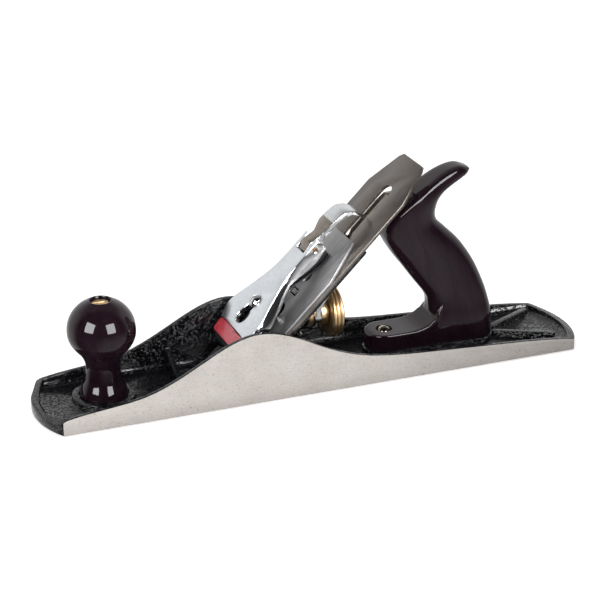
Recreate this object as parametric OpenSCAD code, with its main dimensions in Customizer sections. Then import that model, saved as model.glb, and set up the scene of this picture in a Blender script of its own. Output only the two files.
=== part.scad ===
// Iron bench plane, jack size: one-piece body, sliding frog, depth wheel,
// lateral lever, lever cap with cam, front knob and rear handle.
// Millimetres. The origin is on the sole, under the middle of the body.
// +X points to the heel, +Y to the right-hand cheek, +Z up.

/* [Body] */
// Length of the sole over the rounded toe and heel
sole_l = 356; // [354:1:358]
// Width over the two cheeks
body_w = 63.5; // [63:0.5:64]
// Distance from the middle to the corners where the toe and heel arcs start
corner_x = 168.4; // [167:0.2:169]
// Thickness of the sole plate
floor_z = 4.8; // [4.5:0.1:5]
// Thickness of a cheek
cheek_t = 3.2; // [3:0.1:3.4]
// Height of the cheeks at the top of their curve
cheek_h = 45.2; // [44:0.2:46]
// Height of the rim round the toe
rim_h = 6; // [5.6:0.2:6.4]
// Width of the rim round the toe and heel
rim_w = 5; // [4.5:0.5:6]

/* [Bed] */
// Angle of the bed that carries the cutting iron
bed_angle = 45; // [44:0.5:46]
// Where the plane of the bed meets the sole, from the middle
bed_x = -61.65; // [-61.8:0.05:-61.5]
// Length of the bed, up to the top of the frog
bed_l = 122; // [121:0.5:123]
// Free gap between sliding faces
slide_gap = 0.1; // [0.05:0.01:0.12]

/* [Irons] */
// Width of the cutting iron
iron_w = 50.8; // [50:0.2:51]
// Length of the cutting iron
iron_l = 184.7; // [182:0.1:185]
// Thickness of the cutting iron and of the cap iron
iron_t = 2; // [1.9:0.05:2]
// Width of the long slot in the cutting iron
slot_w = 11; // [10.9:0.1:11.2]
// Distance from the bed's foot to the lever cap screw
cap_screw_s = 55; // [54.5:0.5:55.5]
// Distance from the bed's foot to the nose of the yoke
nose_s = 75; // [74.5:0.5:75.5]
// Distance from the bed's foot to the cap iron screw
iron_screw_s = 87; // [86.5:0.5:87]

/* [Lateral adjuster] */
// Distance from the bed's foot to the rivet that the lateral lever turns on
lateral_s = 115; // [115:0.5:115.5]
// Distance from the rivet to the disc in the iron's slot
disc_arm = 13.5; // [13.5:0.5:14]
// Radius of the disc
disc_r = 5.3; // [5.2:0.05:5.35]

/* [Depth adjuster] */
// Height of the adjuster stud above the sole
stud_z = 39.4; // [39:0.2:40]
// Radius of the adjuster stud
stud_r = 3.2; // [3:0.1:3.4]
// Radius of the brass wheel
wheel_r = 15.9; // [15:0.1:16.5]
// Front face of the brass wheel, from the middle
wheel_x = 8.7; // [8.6:0.1:9.2]
// Thickness of the brass wheel
wheel_t = 7.2; // [7:0.2:8]

/* [Knob] */
// Axis of the front knob, from the middle
knob_x = -134.5; // [-136:0.5:-133]
// Radius of the ball of the knob
knob_r = 20.7; // [20.5:0.1:21]
// Height of the centre of the ball
knob_z = 49.5; // [49:0.5:50]
// Radius of the neck
neck_r = 10.4; // [10:0.1:11]
// Radius of the foot of the knob
knob_foot_r = 14.4; // [14:0.1:14.8]

/* [Handle] */
// Half the thickness of the handle
tote_half = 11.5; // [11:0.5:12]
// Half the width of the handle's foot
foot_half = 12.5; // [12:0.5:13]
// Height of the top of the handle's foot
foot_top = 21; // [20.5:0.5:22]

/* [Hidden] */
$fn = 64;
eps = 0.01;

// ---- shared values ----
half_w = body_w / 2;
inner_half = half_w - cheek_t;
end_sag = sole_l / 2 - corner_x;
end_r = (half_w * half_w + end_sag * end_sag) / (2 * end_sag);
end_x = sole_l / 2 - end_r;
cosb = cos(bed_angle);
sinb = sin(bed_angle);

// A point s up the bed and n above it, in X and Z
function bed_pt(s, n) = [bed_x + s * cosb - n * sinb, s * sinb + n * cosb];
// X on the line n above the bed, at height z
function bed_line_x(n, z) = bed_x + (z * cosb - n) / sinb;

// Smooth curve through knots of [x, y, slope], as points
function ease_pt(a, b, t) =
  let (w = b[0] - a[0], t2 = t * t, t3 = t2 * t)
  [a[0] + w * t,
   (2 * t3 - 3 * t2 + 1) * a[1] + (t3 - 2 * t2 + t) * w * a[2]
   + (3 * t2 - 2 * t3) * b[1] + (t3 - t2) * w * b[2]];
function ease_line(knots, steps) =
  [for (i = [0 : len(knots) - 2]) for (k = [0 : steps - (i < len(knots) - 2 ? 1 : 0)])
    ease_pt(knots[i], knots[i + 1], k / steps)];

// Smooth curve through free points, as points
function glide_pt(p, i, t) =
  let (a = p[max(i - 1, 0)], b = p[i], c = p[i + 1], d = p[min(i + 2, len(p) - 1)],
       t2 = t * t, t3 = t2 * t)
  0.5 * (2 * b + (c - a) * t + (2 * a - 5 * b + 4 * c - d) * t2 + (3 * b - a - 3 * c + d) * t3);
function glide_line(p, steps) =
  [for (i = [0 : len(p) - 2]) for (k = [0 : steps - (i < len(p) - 2 ? 1 : 0)])
    glide_pt(p, i, k / steps)];

module on_bed() {
  translate([bed_x, 0, 0]) rotate([0, -bed_angle, 0]) children();
}

// A shape drawn in X and Z, made solid between y0 and y1
module across(y0, y1) {
  translate([0, y1, 0]) rotate([90, 0, 0]) linear_extrude(y1 - y0) children();
}

module along_x(x0, x1, r) {
  translate([x0, 0, 0]) rotate([0, 90, 0]) cylinder(h = x1 - x0, r = r);
}

module slot_2d(x0, x1, r) {
  translate([x0, 0]) circle(r);
  translate([x1, 0]) circle(r);
  translate([x0, -r]) square([x1 - x0, 2 * r]);
}

module both_sides() {
  children();
  mirror([0, 1, 0]) children();
}

// ---- body casting ----
cheek_peak_x = -46;
side_knots = [
  [-sole_l / 2, rim_h, 0], [-171, rim_h + 0.3, 0.9], [-165, 9.8, 0.2], [-122, 15.5, 0.18],
  [-80, 33.2, 0.55], [cheek_peak_x, cheek_h, 0], [-8, 32, -0.53], [30, 18.8, -0.16],
  [75, 14.7, -0.066], [130, 11.5, -0.068], [168, 7.4, -0.16], [sole_l / 2, 6, -0.05]
];
boss_r = 19.3;
boss_bore_r = 15.2;
boss_z = 8.3;
knob_seat_z = 6;
seat_front_z = 7;
seat_rear_z = 13;
seat_step_x = -47;
seat_end_x = -15.5;
seat_half = 24;
mouth_front_x = -69;
mouth_half = 27.4;
mouth_clear = 1.6;
cross_rib_x = -87;
pad_z = 9.6;
pad_x0 = 48.5;
pad_x1 = 110.5;
pad_half = 13.2;
adjust_z = 9.6;
frog_screw_x = -33;
frog_screw_y = 15;
heel_rib_z = 9;

module plan_outline(inset) {
  intersection() {
    square([sole_l, body_w - 2 * inset], center = true);
    union() {
      square([2 * end_x, body_w], center = true);
      for (side = [-1, 1]) translate([side * end_x, 0]) circle(end_r - inset, $fn = 128);
    }
  }
}

module casting_block() {
  intersection() {
    linear_extrude(cheek_h + 5) plan_outline(0);
    across(-half_w, half_w)
      polygon(concat([[sole_l / 2, 0], [-sole_l / 2, 0]], ease_line(side_knots, 8)));
  }
}

module casting_pocket() {
  fillet_r = 4;
  intersection() {
    translate([0, 0, floor_z]) linear_extrude(cheek_h) union() {
      square([2 * end_x, body_w], center = true);
      for (side = [-1, 1]) translate([side * end_x, 0]) circle(end_r - rim_w, $fn = 128);
    }
    translate([-sole_l / 2, 0, 0]) rotate([90, 0, 90]) linear_extrude(sole_l) union() {
      translate([-inner_half, floor_z + fillet_r]) square([2 * inner_half, cheek_h]);
      translate([-inner_half + fillet_r, floor_z])
        square([2 * (inner_half - fillet_r), fillet_r + 1]);
      for (side = [-1, 1])
        translate([side * (inner_half - fillet_r), floor_z + fillet_r]) circle(fillet_r);
    }
  }
}

module cross_rib() {
  rib_t = 3.6;
  rib_mid_z = 9;
  rib_rise = 9;
  steps = 12;
  arch = [for (i = [-steps : steps])
    [i / steps * (inner_half + 1), rib_mid_z + rib_rise * pow(abs(i) / steps, 2.2)]];
  translate([cross_rib_x, 0, 0]) rotate([90, 0, 90]) linear_extrude(rib_t)
    polygon(concat([[inner_half + 1, 1], [-inner_half - 1, 1]], arch));
}

module heel_rib() {
  translate([126, 4, 1]) rotate([0, 0, 26]) linear_extrude(heel_rib_z - 1)
    slot_2d(0, 36, 2.2);
}

module casting_raised() {
  translate([knob_x, 0, 1]) cylinder(h = boss_z - 1, r = boss_r, $fn = 96);
  cross_rib();
  across(-seat_half, seat_half) polygon([
    [mouth_front_x - 6, 1], [mouth_front_x - 4, seat_front_z], [seat_step_x, seat_front_z],
    [seat_step_x, seat_rear_z], [seat_end_x, seat_rear_z], [seat_end_x, 1]
  ]);
  translate([0, 0, 1]) linear_extrude(pad_z - 1) slot_2d(pad_x0, pad_x1, pad_half);
  both_sides() heel_rib();
}

module casting_cuts() {
  across(-mouth_half, mouth_half) polygon([
    [mouth_front_x, -1], [bed_line_x(-mouth_clear, -1), -1], [bed_line_x(-mouth_clear, 8), 8],
    [bed_line_x(-mouth_clear, 8), 12], [mouth_front_x, 12]
  ]);
  translate([knob_x, 0, knob_seat_z]) cylinder(h = 20, r = boss_bore_r, $fn = 96);
  translate([knob_x, 0, 1]) cylinder(h = 10, r = knob_bolt_r);
  both_sides() translate([frog_screw_x, frog_screw_y, 2]) cylinder(h = 20, r = frog_screw_r);
  translate([0, 0, adjust_z]) along_x(-34, 0, adjust_r);
  tote_axis() translate([0, 0, -5.5]) cylinder(h = 12, r = tote_bolt_r);
  translate([tote_screw_x, 0, 2]) cylinder(h = 20, r = tote_screw_r);
}

module base_casting() {
  color("dimgray") difference() {
    union() {
      difference() {
        casting_block();
        casting_pocket();
      }
      intersection() {
        casting_raised();
        linear_extrude(60) plan_outline(1);
      }
    }
    casting_cuts();
  }
}

// ---- knob ----
knob_bolt_r = 3;
knob_nut_r = 5.2;
knob_nut_z = 60;
knob_top_z = knob_z + knob_r - 0.4;
knob_nut_top = knob_top_z - 2.4;
knob_recess_r = 6.1;

// Profile of the turned knob, radius and height, from its foot up to its top
knob_profile = [
  [knob_foot_r, knob_seat_z], [knob_foot_r, knob_seat_z + 3.4], [knob_foot_r - 0.9, 13],
  [knob_foot_r - 2.7, 17.6], [neck_r + 0.4, 22.4], [neck_r, 27], [neck_r + 0.8, 31],
  [knob_r - 7, 35.4], [knob_r - 3.2, 39.8], [knob_r - 0.7, knob_z - 4.8], [knob_r, knob_z + 0.4],
  [knob_r - 0.9, knob_z + 6.4], [knob_r - 3.6, knob_z + 11.8], [knob_r - 7.8, knob_z + 16.2],
  [knob_recess_r + 1.6, knob_top_z - 1.2], [knob_recess_r, knob_top_z - 0.8]
];

module knob() {
  color("#2a1620") translate([knob_x, 0, 0]) difference() {
    rotate_extrude($fn = 128)
      polygon(concat([[0, knob_seat_z]], glide_line(knob_profile, 4), [[0, knob_top_z - 0.8]]));
    translate([0, 0, knob_seat_z - 1]) cylinder(h = 80, r = knob_bolt_r + 0.3);
    translate([0, 0, knob_nut_z]) cylinder(h = 20, r = knob_recess_r);
  }
}

module knob_bolt() {
  color("silver") translate([knob_x, 0, 1]) cylinder(h = knob_nut_z + 2, r = knob_bolt_r);
}

module barrel_nut(r, z0, z1, bore_r, bore_top) {
  slot_half = 0.7;
  difference() {
    translate([0, 0, z0]) cylinder(h = z1 - z0, r = r);
    translate([0, 0, z0 - 1]) cylinder(h = bore_top - z0 + 1, r = bore_r);
    translate([-r - 1, -slot_half, z1 - 1.6]) cube([2 * r + 2, 2 * slot_half, 3]);
  }
}

module knob_nut() {
  color("goldenrod") translate([knob_x, 0, 0])
    barrel_nut(knob_nut_r, knob_nut_z, knob_nut_top, knob_bolt_r, knob_nut_z + 3);
}

// ---- rear handle ----
tote_base_x = 97;
tote_lean = 22;
tote_bolt_r = 2.8;
tote_nut_r = 5;
tote_axis_l = 99;
tote_nut_l = 12;
tote_screw_x = 49;
tote_screw_r = 2.6;
tote_screw_z = foot_top - 3;
foot_z0 = pad_z;
foot_front_x = 36.5;

// Front and back edges of the grip and horn, from the foot up to the tip
tote_front = [
  [76.5, 9.6], [77.3, 24], [77.4, 33.5], [74.4, 41], [66.2, 51.7], [58.5, 62], [50.6, 72.5],
  [45.2, 82], [44.6, 89], [47.4, 96.6], [54.6, 102.8], [63.8, 109], [74, 117],
  [84.6, 123.4], [94.6, 126.4], [101.8, 125]
];
tote_back = [
  [124.2, 9.6], [123.4, 24], [121.1, 34.3], [117.2, 46.1], [110, 61.4], [100.4, 75.4],
  [91, 85], [84.4, 91.4], [82.8, 96], [83.4, 101], [85.4, 106.4], [89.4, 111.2],
  [94, 113.4], [98.6, 115.2], [102.2, 117.2], [104.2, 119.8]
];
// Half thickness along the grip, as a share of tote_half
tote_share = [1.08, 1.06, 1, 0.97, 0.95, 0.97, 1, 1, 1, 1, 0.98, 0.94, 0.88, 0.8, 0.68, 0.4];
// How far the section is drawn in from those edges
tote_inset = 1.8;
tote_steps = 3;
tote_sides = 24;

module tote_axis() {
  translate([tote_base_x, 0, pad_z]) rotate([0, -tote_lean, 0]) children();
}

function share_at(i, t) = tote_share[i] * (1 - t) + tote_share[min(i + 1, len(tote_share) - 1)] * t;
function squircle(a) =
  let (p = 0.72) [sign(cos(a)) * pow(abs(cos(a)), p), sign(sin(a)) * pow(abs(sin(a)), p)];

module tote_grip() {
  front = glide_line(tote_front, tote_steps);
  back = glide_line(tote_back, tote_steps);
  n = len(front);
  last = len(tote_share) - 1;
  points = [for (i = [0 : n - 1]) for (k = [0 : tote_sides - 1])
    let (q = squircle(360 * k / tote_sides),
         mid = (front[i] + back[i]) / 2,
         reach = (back[i] - front[i]) / 2,
         arm = reach * (1 - tote_inset / norm(reach)),
         w = tote_half * share_at(min(floor(i / tote_steps), last), i / tote_steps % 1))
    [mid[0] + arm[0] * q[0], w * q[1], mid[1] + arm[1] * q[0]]];
  walls = [for (i = [0 : n - 2]) for (k = [0 : tote_sides - 1])
    let (a = i * tote_sides + k, b = i * tote_sides + (k + 1) % tote_sides)
    each [[a, b + tote_sides, b], [a, a + tote_sides, b + tote_sides]]];
  floor_face = [[for (k = [0 : tote_sides - 1]) k]];
  top_face = [[for (k = [tote_sides - 1 : -1 : 0]) (n - 1) * tote_sides + k]];
  polyhedron(points, concat(floor_face, walls, top_face), convexity = 6);
}

module tote_foot() {
  foot_side = [
    [foot_front_x, foot_z0], [foot_front_x, foot_top - 4], [foot_front_x + 3, foot_top - 1],
    [foot_front_x + 8, foot_top], [64, foot_top], [72, foot_top + 1.5], [78, foot_top + 5],
    [83, foot_top + 9], [95, foot_top + 9], [95, foot_z0]
  ];
  intersection() {
    across(-foot_half, foot_half) polygon(foot_side);
    linear_extrude(60) slot_2d(foot_front_x + foot_half, 100, foot_half);
  }
}

module tote() {
  screw_seat_r = 5;
  color("#2a1620") difference() {
    union() {
      tote_grip();
      tote_foot();
    }
    tote_axis() {
      translate([0, 0, -5]) cylinder(h = 130, r = tote_bolt_r + 0.3);
      translate([0, 0, tote_axis_l - tote_nut_l]) cylinder(h = 60, r = tote_nut_r + 0.2);
    }
    translate([tote_screw_x, 0, 0]) cylinder(h = 40, r = tote_screw_r + 0.3);
    translate([tote_screw_x, 0, tote_screw_z]) cylinder(h = 20, r = screw_seat_r);
  }
}

module tote_bolt() {
  color("silver") tote_axis() translate([0, 0, -5.5])
    cylinder(h = tote_axis_l - tote_nut_l + 9, r = tote_bolt_r);
}

module tote_nut() {
  color("goldenrod") tote_axis()
    barrel_nut(tote_nut_r, tote_axis_l - tote_nut_l, tote_axis_l - 1, tote_bolt_r,
               tote_axis_l - tote_nut_l + 3.5);
}

module dome_screw(head_r, head_h, shank_r, shank_l, slot_l) {
  slot_half = 0.6;
  crown_r = (head_r * head_r + head_h * head_h) / (2 * head_h);
  difference() {
    union() {
      intersection() {
        cylinder(h = head_h, r = head_r);
        translate([0, 0, head_h - crown_r]) sphere(crown_r);
      }
      translate([0, 0, -shank_l]) cylinder(h = shank_l + eps, r = shank_r);
    }
    translate([-slot_l / 2, -slot_half, head_h - 1.1]) cube([slot_l, 2 * slot_half, 3]);
  }
}

module tote_screw() {
  head_r = 4.6;
  color("dimgray") translate([tote_screw_x, 0, tote_screw_z])
    dome_screw(head_r, head_r, tote_screw_r, foot_top - 6, 14);
}

// ---- frog ----
frog_half = 24.7;
plate_t = 7;
plate_edge_t = 2;
plate_mid_half = 17;
frog_toe_z = seat_front_z + slide_gap;
frog_foot_z = seat_rear_z + slide_gap;
frog_foot_top = 19;
frog_back_x = -10;
shoulder_s = 103;
frog_top_half = 16;
pin_s = 83;
pin_n = -9.9;
pin_pt = bed_pt(pin_s, pin_n);
pin_r = 1.6;
hub_r = 2.6;
lug_in = 3.6;
lug_out = 5.8;
stud_boss_x = -7;
stud_x0 = -14.5;
frog_screw_r = 2.9;
washer_r = 6.3;
washer_t = 1.2;
head_r = 4.9;
head_h = 3.6;
frog_travel = 1;
adjust_r = 2.6;
plate_screw_z = 16.5;
plate_screw_r = 1.7;

// Side view of the bed plate, as thick as t, on its foot and toe
module frog_side(t) {
  step_x = seat_step_x - frog_travel - 0.4;
  polygon([
    [bed_line_x(-slide_gap, frog_toe_z), frog_toe_z], bed_pt(bed_l, -slide_gap),
    bed_pt(bed_l, -t), [bed_line_x(-t, frog_foot_top), frog_foot_top],
    [frog_back_x, frog_foot_top], [frog_back_x, frog_foot_z], [step_x, frog_foot_z],
    [step_x, frog_toe_z]
  ]);
}

module frog_web() {
  web_top = 44;
  across(-lug_out, lug_out) polygon([
    [-34, frog_foot_top - 1], [frog_back_x, frog_foot_top - 1], [frog_back_x, web_top],
    [bed_line_x(-plate_t + 1, web_top), web_top]
  ]);
}

module frog_lugs() {
  both_sides() across(lug_in, lug_out) {
    polygon([
      bed_pt(77, -plate_t + 1), bed_pt(92, -plate_t + 1), bed_pt(pin_s + 2.5, pin_n),
      bed_pt(pin_s - 2.5, pin_n)
    ]);
    translate(pin_pt) circle(2.8);
  }
}

module frog_shoulders() {
  taper = [
    [shoulder_s, frog_half], [shoulder_s + 6, frog_half - 3.5], [bed_l + 1, frog_top_half],
    [bed_l + 1, frog_half + 2], [shoulder_s, frog_half + 2]
  ];
  on_bed() translate([0, 0, -30]) linear_extrude(40) {
    polygon(taper);
    mirror([0, 1]) polygon(taper);
  }
}

module frog_cuts() {
  recess_n = -3.6;
  lateral_n = -2.6;
  on_bed() {
    translate([cap_screw_s, 0, -30]) cylinder(h = 40, r = 3);
    translate([0, 0, -30]) linear_extrude(40) translate([nose_s - 6, -lug_in])
      square([22, 2 * lug_in]);
    translate([0, 0, recess_n]) linear_extrude(10) slot_2d(iron_screw_s - 2, iron_screw_s + 2, 8.2);
    translate([0, 0, lateral_n]) linear_extrude(10) translate([94, -8.5]) square([42, 17]);
    translate([lateral_s, 0, -20]) cylinder(h = 30, r = 2.1);
  }
  both_sides() translate([frog_screw_x, frog_screw_y, 0]) {
    linear_extrude(60) slot_2d(-frog_travel, frog_travel, frog_screw_r + 0.3);
    translate([0, 0, frog_foot_top - 3]) linear_extrude(60)
      slot_2d(-frog_travel, frog_travel, washer_r + 0.4);
  }
  translate([0, 0, stud_z]) {
    along_x(stud_x0, 0, stud_r);
    along_x(stud_boss_x, 4, flange_r + 0.7);
  }
  translate([pin_pt[0], 0, pin_pt[1]]) rotate([90, 0, 0]) cylinder(h = 30, r = pin_r, center = true);
  translate([0, 0, plate_screw_z]) along_x(-22, 0, plate_screw_r);
}

module frog() {
  color("#3a3a3e") difference() {
    union() {
      across(-frog_half, frog_half) frog_side(plate_edge_t);
      across(-plate_mid_half, plate_mid_half) frog_side(plate_t);
      frog_web();
      frog_lugs();
      translate([0, 0, stud_z]) along_x(-18, stud_boss_x, 9.3);
    }
    frog_shoulders();
    frog_cuts();
    // room above the bed, which the stud boss must not enter
    on_bed() translate([-20, -40, -slide_gap]) cube([240, 80, 40]);
  }
}

screw_seat_z = frog_foot_top - 3;

module frog_washers() {
  color("silver") both_sides() translate([frog_screw_x, frog_screw_y, screw_seat_z + slide_gap])
    difference() {
      cylinder(h = washer_t, r = washer_r);
      translate([0, 0, -1]) cylinder(h = 4, r = frog_screw_r);
    }
}

module frog_screws() {
  color("silver") both_sides()
    translate([frog_screw_x, frog_screw_y, screw_seat_z + slide_gap + washer_t])
      dome_screw(head_r, head_h, frog_screw_r, 14, 12);
}

module frog_adjust_screw() {
  groove = 1.4;
  color("silver") translate([0, 0, adjust_z]) {
    along_x(-30, -8, adjust_r - 0.05);
    along_x(-12.4, -10.2, 3.2);
    difference() {
      along_x(-10.2 + groove, -4.5, 3.8);
      translate([-6, -0.6, -6]) cube([4, 1.2, 12]);
    }
  }
}

module frog_adjust_plate() {
  plate_half = 7;
  x0 = frog_back_x;
  color("silver") difference() {
    translate([x0, -plate_half, 5.6]) cube([1.1, 2 * plate_half, 15]);
    translate([0, 0, adjust_z]) along_x(x0 - 1, x0 + 3, adjust_r + 0.2);
    translate([x0 - 1, -adjust_r - 0.2, 4]) cube([4, 2 * adjust_r + 0.4, adjust_z - 4]);
    translate([0, 0, plate_screw_z]) along_x(x0 - 1, x0 + 3, plate_screw_r);
  }
}

module plate_screw() {
  color("silver") translate([frog_back_x + 1.1, 0, plate_screw_z]) rotate([0, 90, 0])
    dome_screw(2.8, 1.9, plate_screw_r, 8, 8);
}

// ---- depth adjuster ----
groove_x0 = -1.7;
groove_x1 = 3.7;
collar_x0 = -5;
eye_x = (groove_x0 + groove_x1) / 2;
arm_in = 6.2;
arm_out = 9.2;
flange_r = 8;
neck_x0 = eye_x - 1.3;
neck_x1 = eye_x + 1.3;
bridge_z0 = 45.6;
bridge_z1 = 48.3;

module adjuster_stud() {
  color("silver") translate([0, 0, stud_z]) along_x(stud_x0, 20.5, stud_r);
}

module depth_collar() {
  run_gap = 0.05;
  color("goldenrod") translate([0, 0, stud_z]) difference() {
    union() {
      along_x(collar_x0, groove_x0, flange_r);
      along_x(groove_x0 - eps, groove_x1 + eps, 5.6);
      along_x(groove_x1, wheel_x - 0.1, flange_r);
    }
    along_x(collar_x0 - 1, wheel_x + 1, stud_r + run_gap);
  }
}

module depth_wheel() {
  run_gap = 0.05;
  ridge = wheel_t / 3;
  web_r = 13.2;
  color("goldenrod") translate([wheel_x, 0, stud_z]) rotate([0, 90, 0])
    rotate_extrude($fn = 128) difference() {
      union() {
        translate([stud_r + run_gap, 0]) square([wheel_r - ridge / 2 - stud_r - run_gap, wheel_t]);
        for (i = [0 : 2])
          translate([wheel_r - ridge / 2, (i + 0.5) * ridge]) circle(ridge / 2, $fn = 32);
      }
      translate([6.5, wheel_t - 1.8]) square([web_r - 6.5, 3]);
    }
}

module yoke_arm_2d() {
  arm_half = 1.6;
  translate([eye_x, stud_z]) circle(2.3);
  polygon([
    [eye_x - arm_half, stud_z], [eye_x + arm_half, stud_z], [eye_x + arm_half, 44.6],
    [pin_pt[0] + 2, pin_pt[1] - 1.6], [pin_pt[0] - 2, pin_pt[1] + 1.6],
    [eye_x - arm_half, 45.6]
  ]);
  translate(pin_pt) circle(hub_r);
}

module yoke() {
  nose_half = 3.2;
  nose_top = 3.9;
  run_gap = 0.03;
  color("silver") difference() {
    union() {
      both_sides() across(arm_in, arm_out) yoke_arm_2d();
      across(-arm_out, arm_out)
        translate([neck_x0, bridge_z0]) square([neck_x1 - neck_x0, bridge_z1 - bridge_z0]);
      across(-nose_half, nose_half) {
        translate(pin_pt) circle(hub_r);
        polygon([
          [neck_x0, bridge_z0], [neck_x1, bridge_z0], [neck_x1, bridge_z1 - 0.7],
          [pin_pt[0] + 2, pin_pt[1] - 1.6], [pin_pt[0] + 0.5, pin_pt[1] + 2.5],
          bed_pt(nose_s + 1.7, -5), bed_pt(nose_s + 1.6, nose_top), bed_pt(nose_s - 1.6, nose_top),
          bed_pt(nose_s - 1.7, -4.5), [neck_x0, bridge_z1 + 0.3]
        ]);
      }
    }
    translate([pin_pt[0], 0, pin_pt[1]]) rotate([90, 0, 0])
      cylinder(h = 30, r = pin_r + run_gap, center = true);
  }
}

module yoke_pin() {
  color("silver") translate([pin_pt[0], 0, pin_pt[1]]) rotate([90, 0, 0])
    cylinder(h = 19, r = pin_r, center = true);
}

// ---- lateral adjuster ----
lever_t = 1.5;
lever_n = -2.4;
arm_n = -1.9;
tab_n = -6.5;
tab_end_s = 170;
tab_drop = 3.4;
disc_s = lateral_s - disc_arm;
disc_shank_r = 1.6;
lateral_rivet_r = 2.1;

module lateral_lever() {
  rivet_clear = 0.05;
  root_half = 4.6;
  arm_half = 6.2;
  arm_end_s = 156;
  // bottom of the strip, from the disc up the bed, and the tab turned down at its end
  under = [
    [disc_s - 6, lever_n], [bed_l + 1, lever_n], [bed_l + 4, arm_n], [arm_end_s, arm_n],
    [arm_end_s + 6, tab_n], [tab_end_s - lever_t, tab_n], [tab_end_s - lever_t, tab_n - tab_drop]
  ];
  over = [
    [tab_end_s, tab_n - tab_drop], [tab_end_s, tab_n + lever_t], [arm_end_s + 6.8, tab_n + lever_t],
    [arm_end_s + 0.8, arm_n + lever_t], [bed_l + 4, arm_n + lever_t],
    [bed_l + 1, lever_n + lever_t], [disc_s - 6, lever_n + lever_t]
  ];
  half_plan = [
    [disc_s, root_half], [bed_l + 1.5, root_half], [bed_l + 5, arm_half], [arm_end_s - 6, arm_half],
    [arm_end_s + 9, 3.8], [tab_end_s - 2, 5], [tab_end_s + 1, 5]
  ];
  mirrored = [for (i = [len(half_plan) - 1 : -1 : 0]) [half_plan[i][0], -half_plan[i][1]]];
  eye = [for (a = [260 : -10 : 100]) [disc_s + root_half * cos(a), root_half * sin(a)]];
  color("silver") on_bed() difference() {
    intersection() {
      across(-10, 10) polygon(concat(under, over));
      translate([0, 0, -20]) linear_extrude(30) polygon(concat(half_plan, mirrored, eye));
    }
    translate([lateral_s, 0, -10]) cylinder(h = 20, r = lateral_rivet_r + rivet_clear);
    translate([disc_s, 0, -10]) cylinder(h = 20, r = disc_shank_r);
  }
}

module lateral_disc() {
  disc_top = 1.7;
  color("silver") on_bed() translate([disc_s, 0, 0]) {
    translate([0, 0, lever_n + lever_t]) cylinder(h = disc_top - lever_n - lever_t, r = disc_r);
    translate([0, 0, lever_n]) cylinder(h = lever_t + eps, r = disc_shank_r);
  }
}

module lateral_rivet() {
  color("silver") on_bed() translate([lateral_s, 0, 0]) {
    translate([0, 0, -plate_t]) cylinder(h = plate_t + lever_n + lever_t, r = lateral_rivet_r);
    translate([0, 0, lever_n + lever_t + 0.02]) cylinder(h = 0.6, r = 3.8);
    translate([0, 0, lever_n + lever_t - 0.1]) cylinder(h = 0.3, r = lateral_rivet_r);
    translate([0, 0, -plate_t - 1]) cylinder(h = 1, r = 3.4);
  }
}

// ---- irons ----
cap_n = iron_t;
cap_top_n = 2 * iron_t;
iron_edge_s = -1.55;
iron_shoulder_s = 157.4;
iron_top_half = 16;
slot_end_s = 162.3;
screw_hole_r = 8.6;

module plane_iron() {
  bevel_l = 4;
  corner = 3;
  half = iron_w / 2;
  end_s = iron_edge_s + iron_l;
  color("rosybrown") on_bed() difference() {
    linear_extrude(iron_t) difference() {
      polygon([
        [iron_edge_s, -half], [iron_shoulder_s, -half], [end_s - corner, -iron_top_half],
        [end_s, -iron_top_half + corner], [end_s, iron_top_half - corner],
        [end_s - corner, iron_top_half], [iron_shoulder_s, half], [iron_edge_s, half]
      ]);
      slot_2d(46, slot_end_s - slot_w / 2, slot_w / 2);
      translate([46, 0]) circle(screw_hole_r);
    }
    // the ground bevel, on the side of the bed
    across(-half - 1, half + 1) polygon([
      [iron_edge_s - 1, -1], [iron_edge_s - 1, iron_t - 0.02], [iron_edge_s, iron_t - 0.02],
      [iron_edge_s + bevel_l, -eps], [iron_edge_s + bevel_l, -1]
    ]);
  }
}

module cap_iron() {
  half = iron_w / 2 - 0.6;
  hump = 1.4;
  lip_s = 0.2;
  flat_s = 24;
  steps = 8;
  bulge = [for (i = [0 : steps]) let (t = i / steps)
    [lip_s + t * (flat_s - lip_s), cap_n + hump * sin(180 * t) * (1 - 0.3 * t)]];
  crown = [for (i = [steps : -1 : 1]) let (t = i / steps)
    [lip_s + t * (flat_s - lip_s), cap_top_n + hump * sin(180 * t) * (1 - 0.3 * t)]];
  outline = [
    [-1, -half], [94, -half], [121, -14.5], [121, 14.5], [94, half], [-1, half]
  ];
  color("dimgray") on_bed() difference() {
    intersection() {
      across(-half, half) polygon(concat(bulge, [[122, cap_n], [122, cap_top_n]], crown));
      linear_extrude(20) polygon(outline);
    }
    linear_extrude(20) {
      slot_2d(44, 60, 5.2);
      translate([nose_s - 2.4, -4.3]) square([4.8, 8.6]);
    }
    translate([iron_screw_s, 0, 0]) cylinder(h = 20, r = 4);
  }
}

module cap_iron_screw() {
  head_n = -3;
  screw_head_r = 6.5;
  color("silver") on_bed() translate([iron_screw_s, 0, 0]) difference() {
    union() {
      translate([0, 0, head_n]) cylinder(h = -head_n - 0.02, r = screw_head_r);
      translate([0, 0, -0.1]) cylinder(h = cap_top_n + 0.1, r = 4);
    }
    translate([-10, -0.8, head_n - 1]) cube([20, 1.6, 2]);
  }
}

// ---- lever cap ----
face_n = 20.5;
cap_wall = 3;
cap_under_n = face_n - 3.5;
cam_s = 102.4;
cam_n = 17.6;
ear_in = 5.9;
ear_out = 9.7;
ear_end_s = 107.7;
cap_widest = 24.4;
lobe_s = 43.8;
lobe_r = 6;
neck_half = 3.7;

// Half width of the lever cap up the bed
cap_half_knots = [
  [41, cap_widest, 0.1], [45, cap_widest, -0.15], [60, 18, -0.42], [78, 11, -0.22],
  [96, 9.7, 0], [ear_end_s, 9.7, 0]
];

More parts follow.
